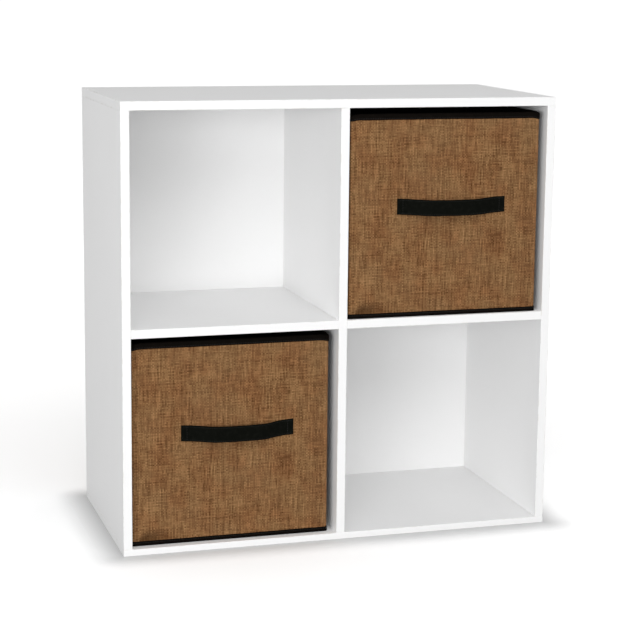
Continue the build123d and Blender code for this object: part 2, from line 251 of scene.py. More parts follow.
class Finish:
    """One procedural material, built node by node."""

    def __init__(self, name, surface):
        self.material = bpy.data.materials.new(name)
        self.material.use_nodes = True
        self.tree = self.material.node_tree
        self.shader = self.tree.nodes["Principled BSDF"]
        for socket, value in surface.items():
            self.shader.inputs[socket].default_value = value

    def node(self, kind, inputs, output=0, **settings):
        """Adds a shader node, fills its inputs with numbers or links, and gives one of its outputs."""
        node = self.tree.nodes.new("ShaderNode" + kind)
        for setting, value in settings.items():
            setattr(node, setting, value)
        for key, value in inputs.items():
            if isinstance(value, bpy.types.NodeSocket):
                self.tree.links.new(value, node.inputs[key])
            else:
                node.inputs[key].default_value = value
        return node.outputs[output]

    def calc(self, operation, *values):
        return self.node("Math", dict(enumerate(values)), operation=operation)

    def total(self, first, *others):
        for other in others:
            first = self.calc("ADD", first, other)
        return first

    def less(self, value, taken):
        return self.calc("SUBTRACT", value, taken)

    def scaled(self, value, factor):
        return self.calc("MULTIPLY", value, factor)

    def place(self):
        return self.node("TexCoord", {}, "Object")

    def cloth_place(self):
        """Where a point lies on the flat cloth, along it and up it, and how much painted shade it has there.
        """
        return self.node("Attribute", {}, "Vector", attribute_name="cloth_place")

    def split(self, vector):
        first = self.node("SeparateXYZ", {0: vector})
        return first, first.node.outputs[1], first.node.outputs[2]

    def joined(self, x, y, z=0.0):
        return self.node("CombineXYZ", {0: x, 1: y, 2: z})

    def stretched(self, vector, x, y, z=1.0):
        return self.node("VectorMath", {0: vector, 1: (x, y, z)}, operation="MULTIPLY")

    def noise(self, vector, scale=1.0, detail=2.0, roughness=0.5):
        inputs = {"Vector": vector, "Scale": scale, "Detail": detail, "Roughness": roughness}
        return self.node("TexNoise", inputs)

    def chance(self, value):
        """A random number that stays the same for the same whole number."""
        return self.node("TexWhiteNoise", {"W": value}, noise_dimensions="1D")

    def fade(self, value, start, end):
        """From 0 at the start value to 1 at the end value."""
        inputs = {"Value": value, "From Min": start, "From Max": end}
        return self.node("MapRange", inputs, interpolation_type="SMOOTHSTEP")

    def mix(self, factor, first, second, blend_type="MIX"):
        inputs = {0: factor, 6: first, 7: second}
        return self.node("Mix", inputs, 2, data_type="RGBA", blend_type=blend_type)

    def colour(self, socket):
        self.tree.links.new(socket, self.shader.inputs["Base Color"])

    def roughness(self, value, low, high):
        """Roughness that goes from low to high as the value goes from 0 to 1."""
        inputs = {"Value": value, "To Min": low, "To Max": high}
        rough = self.node("MapRange", inputs)
        self.tree.links.new(rough, self.shader.inputs["Roughness"])

    def bump(self, height, depth):
        """Relief of the given depth in metres, from a height between 0 and 1."""
        normal = self.node("Bump", {"Height": height, "Distance": depth})
        self.tree.links.new(normal, self.shader.inputs["Normal"])


def weave(finish, along, up):
    """A plain weave: relief, whether the upright thread is on top, and each thread's number."""
    across = finish.calc("DIVIDE", along, WARP_PITCH)
    high = finish.calc("DIVIDE", up, WEFT_PITCH)
    warp_number = finish.calc("FLOOR", across)
    weft_number = finish.calc("FLOOR", high)

    def thread(position, crossing, number, sign):
        """One set of threads: round across, and up and down along."""
        off_centre = finish.less(finish.calc("FRACT", position), 0.5)
        side = finish.scaled(finish.calc("ABSOLUTE", off_centre), 1.9)
        squared_height = finish.less(1.0, finish.calc("POWER", side, 2.0))
        round_top = finish.calc("SQRT", finish.calc("MAXIMUM", squared_height, 0.0))
        phase = finish.scaled(finish.total(crossing, number), math.pi)
        wave = finish.total(0.5, finish.scaled(finish.calc("SINE", phase), 0.42 * sign))
        return finish.scaled(round_top, wave)

    warp = thread(across, high, warp_number, 1)
    weft = thread(high, across, weft_number, -1)
    relief = finish.calc("MAXIMUM", warp, weft)
    on_top = finish.fade(finish.less(warp, weft), -0.08, 0.08)
    return relief, on_top, warp_number, weft_number


def woven_front():
    """Brown burlap: uneven threads, slubs that run for a few centimetres, soft patches, and painted shade in
    the front's low left corner.
    """
    surface = {"Specular IOR Level": 0.08, "Sheen Weight": 0.04, "Sheen Roughness": 0.5}
    finish = Finish("woven_front", surface)
    along, up, painted_shade = finish.split(finish.cloth_place())
    place = finish.joined(along, up)
    along_noise = finish.noise(place, 55, 3.0)
    up_noise = finish.noise(finish.stretched(place, 1.3, 0.9), 50, 3.0)
    bent_along = finish.total(along, finish.scaled(finish.total(along_noise, -0.5), 3.4 * MM))
    bent_up = finish.total(up, finish.scaled(finish.total(up_noise, -0.5), 2.6 * MM))
    relief, on_top, warp, weft = weave(finish, bent_along, bent_up)
    warp_slub = finish.noise(finish.joined(finish.scaled(warp, 7.31), finish.scaled(up, 75)))
    weft_slub = finish.noise(finish.joined(finish.scaled(along, 70), finish.scaled(weft, 5.77)))
    warp_tone = finish.total(finish.scaled(warp_slub, 1.3), finish.scaled(finish.chance(warp), 0.30), -0.30)
    weft_chance = finish.chance(finish.total(weft, 0.37))
    weft_tone = finish.total(finish.scaled(weft_slub, 1.0), finish.scaled(weft_chance, 0.16), -0.12)
    streaks = finish.noise(finish.stretched(place, 420, 32), 1.0, 3.0, 0.6)
    cross_streaks = finish.noise(finish.stretched(place, 34, 380), 1.0, 3.0, 0.6)
    tone = finish.node("Mix", {0: on_top, 2: weft_tone, 3: warp_tone})
    tone = finish.total(tone, finish.scaled(streaks, 0.95), finish.scaled(cross_streaks, 0.5), -0.72)
    thread_colour = finish.mix(finish.fade(tone, 0.0, 1.0), srgb(91, 60, 33), srgb(166, 126, 84))
    gaps = finish.fade(relief, 0.62, 0.10)
    colour = finish.mix(finish.scaled(gaps, 0.75), thread_colour, srgb(58, 36, 18))
    patches = finish.fade(finish.noise(finish.stretched(place, 1.0, 0.8), 32), 0.35, 0.68)
    colour = finish.mix(finish.scaled(patches, 0.30), colour, srgb(146, 90, 46), "OVERLAY")
    worn = finish.fade(finish.noise(finish.stretched(place, 0.9, 1.2), 14, 1.0), 0.35, 0.75)
    colour = finish.mix(finish.scaled(worn, 0.16), colour, srgb(136, 110, 78))
    # Painted shade: darkens the low left corner of the front, where the cloth pinches over the edge tape
    colour = finish.mix(finish.scaled(painted_shade, 0.72), colour, srgb(62, 36, 12))
    finish.colour(colour)
    fibres = finish.noise(finish.stretched(place, 5200, 4100))
    finish.roughness(fibres, 0.78, 0.96)
    finish.bump(finish.total(relief, finish.scaled(fibres, 0.25), finish.scaled(streaks, 0.35)), 0.35 * MM)
    return finish.material


def pressed_cloth(name, dark, light):
    """Black non-woven cloth, pressed with rows of small dimples."""
    finish = Finish(name, {"Specular IOR Level": 0.06, "Sheen Weight": 0.01, "Sheen Roughness": 0.4})
    place = finish.cloth_place()
    along, up, _ = finish.split(place)
    rows = finish.scaled(finish.total(along, up), math.pi / DIMPLE_PITCH)
    columns = finish.scaled(finish.less(along, up), math.pi / DIMPLE_PITCH)
    grid = finish.scaled(finish.calc("SINE", rows), finish.calc("SINE", columns))
    dimples = finish.fade(finish.calc("ABSOLUTE", grid), 0.15, 0.75)
    fibres = finish.noise(finish.stretched(place, 1900, 1300), 1.0, 4.0, 0.65)
    clouds = finish.noise(place, 60)
    tone = finish.total(finish.scaled(fibres, 0.5), finish.scaled(clouds, 0.4))
    tone = finish.total(tone, finish.scaled(dimples, 0.2), -0.1)
    finish.colour(finish.mix(tone, dark, light))
    finish.roughness(fibres, 0.62, 0.9)
    finish.bump(finish.total(dimples, finish.scaled(fibres, 0.5)), 0.16 * MM)
    return finish.material


def ribbed_tape(name, dark, light, rib, slant):
    """Black woven tape with fine slanting ribs."""
    finish = Finish(name, {"Specular IOR Level": 0.03, "Roughness": 0.7})
    place = finish.cloth_place()
    along, up, _ = finish.split(place)
    turns = finish.scaled(finish.total(along, finish.scaled(up, slant)), math.pi / rib)
    ribs = finish.calc("ABSOLUTE", finish.calc("SINE", turns))
    thread_turns = finish.scaled(up, math.pi / (0.5 * MM))
    threads = finish.calc("ABSOLUTE", finish.calc("SINE", thread_turns))
    fibres = finish.noise(finish.stretched(place, 2300, 2300), 1.0, 3.0)
    worn = finish.fade(finish.noise(place, 140, 3.0), 0.45, 0.75)
    tone = finish.total(finish.scaled(ribs, 0.35), finish.scaled(worn, 0.4))
    finish.colour(finish.mix(tone, dark, light))
    finish.roughness(fibres, 0.5, 0.8)
    finish.bump(finish.total(ribs, finish.scaled(threads, 0.3), finish.scaled(fibres, 0.25)), 0.14 * MM)
    return finish.material


def thread_finish():
    """Twisted black sewing thread."""
    finish = Finish("black_thread", {"Specular IOR Level": 0.2, "Sheen Weight": 0.03})
    x, y, z = finish.split(finish.place())
    turns = finish.scaled(finish.total(x, y, z), math.pi / (0.4 * MM))
    twist = finish.calc("ABSOLUTE", finish.calc("SINE", turns))
    tone = finish.noise(finish.place(), 160)
    finish.colour(finish.mix(tone, srgb(8, 8, 8), srgb(30, 28, 26)))
    finish.roughness(tone, 0.4, 0.6)
    finish.bump(twist, 0.08 * MM)
    return finish.material


def board_edges(finish, name):
    """How far a point of a board is from the nearest of the board's edges."""
    low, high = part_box(name)
    gaps = []
    for coordinate, near, far in zip(finish.split(finish.place()), low, high):
        before = finish.less(coordinate, near)
        after = finish.less(far, coordinate)
        gaps.append(finish.calc("MINIMUM", before, after))
    pairs = [finish.total(gaps[a], gaps[b]) for a, b in ((0, 1), (1, 2), (0, 2))]
    return finish.calc("MINIMUM", finish.calc("MINIMUM", *pairs[:2]), pairs[2])


def white_laminate(name):
    """White melamine on one board, with an edge band in front and lightly rubbed edges."""
    finish = Finish(name + "_laminate", {"Specular IOR Level": 0.3})
    place = finish.place()
    _, depth, _ = finish.split(place)
    rubbed = finish.scaled(
        finish.fade(board_edges(finish, name), 1.5 * MM, 0.2 * MM),
        finish.fade(finish.noise(place, 85, 3.0), 0.45, 0.68),
    )
    band_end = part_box(name)[0].y + 0.7 * MM
    off_band = finish.calc("ABSOLUTE", finish.less(depth, band_end))
    band_line = finish.fade(off_band, 0.16 * MM, 0.04 * MM)
    clouds = finish.noise(place, 7.0, 3.0)
    colour = finish.mix(clouds, grey(0.900), grey(0.925))
    colour = finish.mix(finish.scaled(rubbed, 0.4), colour, srgb(212, 207, 198))
    colour = finish.mix(finish.scaled(band_line, 0.4), colour, srgb(188, 187, 184))
    finish.colour(colour)
    smudges = finish.noise(place, 22, 4.0, 0.6)
    finish.roughness(finish.total(finish.scaled(smudges, 0.8), finish.scaled(rubbed, 0.5)), 0.40, 0.58)
    skin = finish.noise(place, 950)
    finish.bump(finish.total(skin, finish.scaled(band_line, -1.0)), 0.02 * MM)
    return finish.material


def back_panel_finish():
    """Hardboard: white paint on the face in the cubes, bare brown fibres behind."""
    finish = Finish("white_hardboard", {"Specular IOR Level": 0.2})
    place = finish.place()
    low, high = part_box("back_panel")
    _, depth, _ = finish.split(place)
    behind = finish.fade(depth, low.y + 0.4 * MM, low.y + 0.6 * MM)
    fibres = finish.noise(finish.stretched(place, 1.0, 1.0, 0.35), 420, 5.0, 0.7)
    flecks = finish.fade(finish.noise(finish.stretched(place, 0.5, 1.0, 1.0), 230, 3.0), 0.56, 0.70)
    clouds = finish.noise(place, 9.0, 3.0)
    brown = finish.mix(fibres, srgb(120, 86, 56), srgb(176, 138, 98))
    brown = finish.mix(finish.scaled(flecks, 0.45), brown, srgb(86, 58, 36))
    brown = finish.mix(finish.scaled(clouds, 0.25), brown, srgb(160, 120, 80))
    white = finish.mix(clouds, grey(0.895), grey(0.920))
    finish.colour(finish.mix(behind, white, brown))
    finish.roughness(finish.total(finish.scaled(behind, 0.7), finish.scaled(fibres, 0.3)), 0.45, 0.85)
    finish.bump(fibres, 0.05 * MM)
    return finish.material


def metal(name, dark, light, low, high):
    """Plated or cast metal with fine scratches and dull patches."""
    finish = Finish(name, {"Metallic": 1.0})
    place = finish.place()
    scratches = finish.noise(finish.stretched(place, 0.4, 1.0, 3.0), 900, 4.0, 0.7)
    patches = finish.noise(place, 260, 3.0)
    finish.colour(finish.mix(patches, dark, light))
    finish.roughness(finish.total(finish.scaled(scratches, 0.6), finish.scaled(patches, 0.4)), low, high)
    finish.bump(scratches, 0.03 * MM)
    return finish.material


def grained(name, dark, light, stretch, scale, depth):
    """Wood or board with fibres along its least stretched direction."""
    finish = Finish(name, {"Specular IOR Level": 0.25})
    place = finish.stretched(finish.place(), *stretch)
    fibres = finish.noise(place, scale, 5.0, 0.65)
    streaks = finish.fade(finish.noise(place, scale * 0.3), 0.35, 0.7)
    tone = finish.total(finish.scaled(fibres, 0.6), finish.scaled(streaks, 0.4))
    finish.colour(finish.mix(tone, dark, light))
    finish.roughness(fibres, 0.6, 0.9)
    finish.bump(fibres, depth)
    return finish.material


def cap_plastic():
    """White moulded plastic with a fine satin texture."""
    finish = Finish("white_plastic", {"Specular IOR Level": 0.5})
    grain = finish.noise(finish.place(), 2600)
    haze = finish.noise(finish.place(), 90)
    finish.colour(finish.mix(haze, grey(0.79), grey(0.84)))
    finish.roughness(grain, 0.34, 0.5)
    finish.bump(grain, 0.02 * MM)
    return finish.material


# ---- mesh building ----


def walk(corners, radius, steps):
    """Points and outward directions along straight runs and quarter arcs, anticlockwise from above."""
    corners = [np.array(corner, float) for corner in corners]
    points, outward = [], []
    for index, run_steps in enumerate(steps):
        direction = corners[index + 1] - corners[index]
        direction /= np.linalg.norm(direction)
        side = np.array((direction[1], -direction[0]))
        last_run = index == len(steps) - 1
        start = corners[index] + direction * (radius if index else 0)
        end = corners[index + 1] - direction * (0 if last_run else radius)
        for share in np.linspace(0, 1, run_steps + 1):
            points.append(start + (end - start) * share)
            outward.append(side)
        if last_run:
            break
        for angle in np.linspace(0, math.pi / 2, ARC_STEPS + 1)[1:-1]:
            facing = side * math.cos(angle) + direction * math.sin(angle)
            points.append(end - side * radius + facing * radius)
            outward.append(facing)
    return np.array(points), np.array(outward)


def run_lengths(points):
    """How far along a line each of its points is."""
    gaps = np.linalg.norm(np.diff(points, axis=0), axis=1)
    return np.concatenate(([0], np.cumsum(gaps)))


def on_cloth(along, up):
    """Places on flat cloth, with no painted shade."""
    return np.stack(np.broadcast_arrays(along, up, 0.0), axis=-1)


def from_edge(places, half_x, half_y):
    """How far places on a rectangle are inside its nearest edge."""
    return np.minimum(half_x - np.abs(places[..., 0]), half_y - np.abs(places[..., 1]))


def add_piece(name, vertices, faces, material, cloth_places=None):
    """A mesh object with outward faces, smooth except at its sharp edges."""
    mesh = bpy.data.meshes.new(name)
    mesh.from_pydata(np.asarray(vertices, float).tolist(), [], faces)
    work = bmesh.new()
    work.from_mesh(mesh)
    bmesh.ops.recalc_face_normals(work, faces=work.faces)
    work.to_mesh(mesh)
    work.free()
    if cloth_places is not None:
        attribute = mesh.attributes.new("cloth_place", "FLOAT_VECTOR", "POINT")
        attribute.data.foreach_set("vector", np.asarray(cloth_places, np.float32).ravel())
    mesh.shade_smooth()
    mesh.set_sharp_from_angle(angle=math.radians(50))
    mesh.materials.append(material)
    piece = add_object(name, mesh)
    return piece


def loft(name, rows, places, material, closed=False):
    """A closed skin over rows of points, each a loop. The rows close on each other or end in caps."""
    count, width = rows.shape[:2]
    faces = []
    for row in range(count if closed else count - 1):
        here = row * width
        there = (row + 1) % count * width
        for column in range(width):
            beside = (column + 1) % width
            faces.append((here + column, there + column, there + beside, here + beside))
    if not closed:
        for start in (0, (count - 1) * width):
            for column in range(width // 2 - 1):
                far = width - 1 - column
                faces.append((start + column, start + column + 1, start + far - 1, start + far))
    return add_piece(name, rows.reshape(-1, 3), faces, material, places.reshape(-1, 3))


def stitch_row(centres, directions, outward, length=STITCH_LENGTH, radius=STITCH_RADIUS):
    """Vertices and faces of one small rounded thread at each centre, half sunk in the cloth."""
    # Each ring is a place along the thread and a thickness, as shares of its length and radius
    rings = ((-0.5, 0.3), (-0.36, 0.85), (0.0, 1.0), (0.36, 0.85), (0.5, 0.3))
    sides = 6
    vertices, faces = [], []
    for centre, direction, up in zip(centres, directions, outward):
        across = np.cross(direction, up)
        base = len(vertices)
        for share, thickness in rings:
            for side in range(sides):
                angle = 2 * math.pi * side / sides
                offset = across * math.cos(angle) * 1.1 + up * math.sin(angle) * 0.8
                vertices.append(centre + direction * share * length + offset * thickness * radius)
        for ring in range(len(rings) - 1):
            for side in range(sides):
                beside = (side + 1) % sides
                low, high = base + ring * sides, base + (ring + 1) * sides
                faces.append((low + side, low + beside, high + beside, high + side))
        faces.append(tuple(base + side for side in range(sides)))
        faces.append(tuple(base + (len(rings) - 1) * sides + side for side in range(sides)))
    return vertices, faces


def stitches_along(line, outward, pitch=STITCH_PITCH, **sizes):
    """A row of stitches along a line of points, each facing the way that the line's outward says."""
    lengths = run_lengths(line)
    count = max(1, int(lengths[-1] / pitch))
    middles = (np.arange(count) + 0.5) * lengths[-1] / count

    def sampled(values, at):
        return np.stack([np.interp(at, lengths, values[:, axis]) for axis in range(3)], axis=1)

    centres = sampled(line, middles)
    ahead = sampled(line, middles + 0.3 * MM) - sampled(line, middles - 0.3 * MM)
    directions = ahead / np.linalg.norm(ahead, axis=1)[:, None]
    facing = sampled(outward, middles)
    facing /= np.linalg.norm(facing, axis=1)[:, None]
    return stitch_row(centres, directions, facing, **sizes)


# ---- bins ----


class Bin:
    """One fabric bin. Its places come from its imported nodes, counted from the middle of its floor."""

    def __init__(self, name, seed, finishes):
        self.name = name
        self.seed = seed
        self.finishes = finishes
        side_low, side_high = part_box(name + "_side_cloth")
        front_low, front_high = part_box(name + "_front_cloth")
        self.half_x = (side_high.x - side_low.x) / 2
        self.half_y = (side_high.y - front_low.y) / 2
        self.wrap_y = front_high.y - front_low.y
        self.seam_y = self.wrap_y - self.half_y
        floor_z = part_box(name + "_edge_binding")[0].z
        self.origin = np.array(((side_low.x + side_high.x) / 2, (front_low.y + side_high.y) / 2, floor_z))
        self.rim_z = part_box(name + "_rim_binding")[1].z - floor_z
        self.cloth_top = front_high.z - floor_z
        strap_low, strap_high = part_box(name + "_handle_strap")
        strap_middle = (strap_low + strap_high) / 2
        self.strap_x = strap_middle.x - self.origin[0]
        self.strap_z = strap_middle.z - floor_z
        self.strap_half = (strap_high.x - strap_low.x) / 2
        self.strap_half_height = (strap_high.z - strap_low.z) / 2

    def loop(self, offset):
        """The bin's outline, at an offset outwards from its cloth, from the middle of the back."""
        x, y = self.half_x + offset, self.half_y + offset
        corners = ((0, y), (-x, y), (-x, -y), (x, -y), (x, y), (0, y))
        points, outward = walk(corners, max(CORNER + offset, TIGHTEST_CORNER), LOOP_STEPS)
        return points[:-1], outward[:-1]

    def front_path(self, offset):
        """Along the front from one side's seam to the other's."""
        x, y = self.half_x + offset, self.half_y + offset
        corners = ((-x, self.seam_y), (-x, -y), (x, -y), (x, self.seam_y))
        return walk(corners, max(CORNER + offset, TIGHTEST_CORNER), FRONT_STEPS)

    def side_path(self, offset):
        """From the right seam round the back to the left seam."""
        x, y = self.half_x + offset, self.half_y + offset
        corners = ((x, self.seam_y), (x, y), (-x, y), (-x, self.seam_y))
        return walk(corners, max(CORNER + offset, TIGHTEST_CORNER), SIDE_STEPS)

    def rim_drop(self, points):
        """How far the rim dips at each point, because it is soft at its corners."""
        from_corner = np.hypot(self.half_x - np.abs(points[:, 0]), self.half_y - np.abs(points[:, 1]))
        return RIM_DROP * (1 - smooth(from_corner / RIM_DROP_LENGTH))

    def placed(self, points, heights):
        """Points of the bin as points of the frame."""
        return np.concatenate((points, np.asarray(heights)[..., None]), axis=-1) + self.origin

    def loft(self, name, rows, places, finish, closed=False):
        """A lofted piece of the bin. Its slot has the name of its finish."""
        return loft(f"{self.name}_{name}", rows, places, self.finishes[finish], closed)

    def between(self, name, outer, inner, places, finish, closed=False):
        """A sheet as thick as the gap between two skins."""
        rows = np.concatenate((outer, inner[:, ::-1]), axis=1)
        both = np.concatenate((places, places[:, ::-1]), axis=1)
        return self.loft(name, rows, both, finish, closed)

    def finish_piece(self, piece, *replaced):
        """Fixes a piece to the bin, in place of CAD nodes."""
        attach(piece, self.name)
        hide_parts(*(f"{self.name}_{node}" for node in replaced))

    def wall(self, name, path, offset, thickness, low_z, relief, finish, closed=False, painted_shade_at=None):
        """A wall of cloth. relief says how far each point stands out; the last argument, if given, says how
        much painted shade each point has.
        """
        points, outward = path(offset)
        lengths = run_lengths(points)
        levels = low_z + (self.cloth_top - low_z) * np.linspace(0, 1, WALL_LEVELS)
        along, up = np.meshgrid(lengths, levels, indexing="ij")
        places = on_cloth(along, up)
        stands = relief(points, places)
        if painted_shade_at:
            # The third place is painted shade, which darkens the cloth's colour
            places[..., 2] = painted_shade_at(points, places)
        near_rim = smooth((levels - self.cloth_top + RIM_DROP_HEIGHT) / RIM_DROP_HEIGHT)
        drop = self.rim_drop(points)[:, None] * near_rim
        skins = []
        for depth in (0, thickness):
            base, facing = path(offset - depth)
            flat = base[:, None] + facing[:, None] * stands[..., None]
            skins.append(self.placed(flat, levels - drop))
        return self.between(name, *skins, places, finish, closed)

    def front_relief(self, points, places):
        """The front cloth: slack over its board, tight at its edges, and puckered in its low corners."""
        x = points[:, 0][:, None]
        z = places[..., 1]
        from_side = self.half_x - np.abs(x)
        from_ends = np.minimum(z - EDGE_TAPE_HEIGHT, self.cloth_top - RIM_TAPE_HEIGHT - z)
        slack = smooth(from_side / (22 * MM)) * smooth(from_ends / (20 * MM))
        soft = 0.55 + 0.5 * wander(places, 46 * MM, self.seed) + 0.22 * wander(places, 17 * MM, self.seed + 4)
        stands = slack * soft * MM
        tab_middle = self.strap_half - 10 * MM
        from_tab = np.hypot(np.abs(np.abs(x - self.strap_x) - tab_middle), z - self.strap_z)
        stands *= 1 - smooth(1.6 - from_tab / (16 * MM))
        from_left = x + self.half_x
        above = z - EDGE_TAPE_HEIGHT - 10 * MM - 0.10 * from_left
        swell = smooth((above + 10 * MM) / (10 * MM)) * np.exp(-((np.maximum(above, 0) / (22 * MM)) ** 2))
        reach = smooth((from_left - 1 * MM) / (9 * MM)) * smooth((62 * MM - from_left) / (50 * MM))
        stands += 3.2 * MM * swell * reach
        from_right = self.half_x - x
        right_reach = smooth(from_right / (6 * MM)) * smooth((45 * MM - from_right) / (35 * MM))
        from_crease = z - EDGE_TAPE_HEIGHT - 8 * MM - 0.30 * from_right
        stands += 0.8 * MM * np.exp(-((from_crease / (6 * MM)) ** 2)) * right_reach
        return stands

    def front_painted_shade(self, points, places):
        """Painted shade on the front cloth, from 0 to 1, where its left corner is pinched over the edge tape.
        """
        from_left = points[:, 0][:, None] + self.half_x
        height = places[..., 1] - EDGE_TAPE_HEIGHT
        start = smooth((from_left - 4 * MM - 0.45 * height) / (10 * MM))
        end = 1 - smooth((from_left - 20 * MM) / (50 * MM))
        top = 1 - smooth((height - 7 * MM + 0.06 * from_left) / (13 * MM))
        return start * end * top

    def side_relief(self, points, places):
        """The side and back cloth: slightly wavy, and drawn in over the fold in the middle of each side."""
        x, y = points[:, 0][:, None], points[:, 1][:, None]
        z = places[..., 1]
        from_ends = np.minimum(z - EDGE_TAPE_HEIGHT, self.cloth_top - RIM_TAPE_HEIGHT - z)
        waves = 0.22 + 0.25 * wander(places, 55 * MM, self.seed + 7)
        waves += 0.08 * wander(places, 15 * MM, self.seed + 9)
        on_side = np.abs(x) > self.half_x - 0.1 * MM
        fold = np.exp(-((y / (1 * MM)) ** 2)) * on_side
        return waves * MM * smooth(from_ends / (20 * MM)) * (1 - fold) - 0.5 * MM * fold

    def lining_relief(self, points, places):
        """The lining: hangs a little away from the boards, never outwards."""
        waves = 0.25 + 0.25 * wander(places, 50 * MM, self.seed + 11)
        below_rim = smooth((self.cloth_top - places[..., 1]) / (20 * MM))
        return -waves * MM * below_rim

    def add_stitches(self, name, rows):
        """All the given rows of stitches as one piece."""
        vertices, faces = [], []
        for row_vertices, row_faces in rows:
            base = len(vertices)
            vertices += row_vertices
            faces += [tuple(base + corner for corner in face) for face in row_faces]
        finish = "black_thread"
        return add_piece(f"{self.name}_{name}", vertices, faces, self.finishes[finish])

    def make_walls(self):
        front = self.wall(
            "front_cover", self.front_path, 0, CLOTH, HEM, self.front_relief, "woven_front",
            painted_shade_at=self.front_painted_shade,
        )
        self.finish_piece(front, "front_cloth")
        # Rounding each of the two corners takes about 1.5 mm off the cloth's length
        side = self.wall("side_cover", self.side_path, 0, CLOTH, HEM, self.side_relief, "black_cloth")
        self.finish_piece(side, "side_cloth")
        lining_offset = -CLOTH - WALL_BOARD
        lining = self.wall(
            "inner_lining", self.loop, lining_offset, LINING, HEM + CLOTH, self.lining_relief, "black_lining",
            closed=True,
        )
        self.finish_piece(lining, "lining")

    def swept(self, name, section, lift, finish):
        """A section carried round the bin. Its points are an offset outwards, a height and how wavy it is."""
        base, _ = self.loop(0)
        lengths = run_lengths(base)
        turns = lengths / lengths[-1] * math.tau
        around = np.stack((np.cos(turns), np.sin(turns)), axis=1)
        waves = wander(around * 1.8, 0.5, self.seed + 13) + 0.5 * wander(around * 5.5, 0.5, self.seed + 15)
        columns, places = [], []
        reach = 0.0
        for index, (offset, height, wavy) in enumerate(section):
            points, _ = self.loop(offset)
            heights = height + lift + waves * wavy
            columns.append(self.placed(points, heights))
            if index:
                reach += math.dist(section[index][:2], section[index - 1][:2])
            places.append(on_cloth(lengths, reach))
        rows = np.stack(columns, axis=1)
        return self.loft(name, rows, np.stack(places, axis=1), finish, closed=True)

    def make_rim_tape(self):
        """Tape folded over the rim, with a turned-in lower edge on both sides."""
        inner = -CLOTH - WALL_BOARD - LINING
        shoulder = 1.5 * MM
        low = -RIM_TAPE_HEIGHT
        wave = 0.30 * MM
        outside = [(TAPE - 0.25 * MM, low, wave), (TAPE, low + 0.3 * MM, wave)]
        outside += [(TAPE + 0.08 * MM, low + 1 * MM, wave), (TAPE - 0.12 * MM, low + 1.9 * MM, wave)]
        outside.append((TAPE, low + 3.5 * MM, 0.2 * MM))
        for angle in np.radians((0, 22, 45, 68, 90)):
            turned_in = shoulder * (1 - math.cos(angle))
            outside.append((TAPE - turned_in, -shoulder * (1 - math.sin(angle)), 0.12 * MM))
        inside = [(inner - offset, height, wavy) for offset, height, wavy in reversed(outside)]
        far, near = inner + 0.05 * MM, -0.05 * MM
        hidden = [(far, low, wave), (far, -1.6 * MM, 0), (inner + 1 * MM, -0.7 * MM, 0)]
        hidden += [(-1 * MM, -0.7 * MM, 0), (near, -1.6 * MM, 0), (near, low, wave)]
        base, _ = self.loop(0)
        lift = self.rim_z - self.rim_drop(base)
        tape = self.swept("rim_tape", outside + inside + hidden, lift, "black_binding")
        self.finish_piece(tape, "rim_binding")

    def make_edge_tape(self):
        """Tape folded under the bottom edge."""
        wave = 0.25 * MM
        top = EDGE_TAPE_HEIGHT
        near, far = -0.02 * MM, -EDGE_TAPE_WIDTH
        section = [(near, top, wave), (TAPE - 0.25 * MM, top, wave), (TAPE, top - 0.4 * MM, wave)]
        section += [(TAPE + 0.05 * MM, top - 1.2 * MM, wave), (TAPE - 0.1 * MM, top - 2 * MM, wave)]
        section += [(TAPE, 2 * MM, 0), (TAPE, 0.9 * MM, 0), (TAPE - 0.25 * MM, 0.25 * MM, 0)]
        section += [(TAPE - 0.8 * MM, 0, 0), (far + 0.4 * MM, 0, 0), (far, 0.2 * MM, 0)]
        section += [(far, HEM, 0), (near, HEM, 0), (near, 2 * MM, 0)]
        tape = self.swept("edge_tape", section, 0, "black_binding")
        self.finish_piece(tape, "edge_binding")

    def row_round(self, offset, height, drop, faces_out=1):
        """A row of stitches round the bin. drop is how much of the rim's dip it follows."""
        points, outward = self.loop(offset)
        points = np.concatenate((points, points[:1]))
        outward = np.concatenate((outward, outward[:1])) * faces_out
        base, _ = self.loop(0)
        dips = self.rim_drop(np.concatenate((base, base[:1]))) * drop
        line = self.placed(points, height - dips)
        facing = np.concatenate((outward, np.zeros((len(outward), 1))), axis=1)
        return stitches_along(line, facing)

    def make_stitches(self):
        """Rows along the rim tape, inside and outside, along the outside of the edge tape, and beside the
        front's two seams.
        """
        inner = -CLOTH - WALL_BOARD - LINING - TAPE
        rim_row = self.rim_z - RIM_TAPE_HEIGHT + 1.9 * MM
        rows = [self.row_round(TAPE - 0.1 * MM, rim_row, 1)]
        rows.append(self.row_round(inner + 0.1 * MM, rim_row, 1, faces_out=-1))
        rows.append(self.row_round(TAPE - 0.08 * MM, EDGE_TAPE_HEIGHT - 2 * MM, 0))
        marks = 30
        heights = np.linspace(EDGE_TAPE_HEIGHT + 2 * MM, self.cloth_top - RIM_TAPE_HEIGHT - 1 * MM, marks)
        for side in (-1, 1):
            seam = np.tile((side * (self.half_x + 0.1 * MM), self.seam_y + 2.5 * MM), (marks, 1))
            facing = np.tile((side, 0.0, 0.0), (marks, 1))
            rows.append(stitches_along(self.placed(seam, heights), facing))
        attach(self.add_stitches("seam_stitches", rows), self.name)

    def slab(self, name, half_x, half_y, top, bottom, finish, easing):
        """A thin slab with eased edges. top and bottom give its heights at each place."""

        def marks(half):
            inner = np.linspace(-half + 4 * MM, half - 4 * MM, SLAB_MARKS)
            eased = np.array((0, 0.12, 0.5, 1.0)) * easing
            return np.concatenate((-half + eased, inner, half - eased[::-1]))

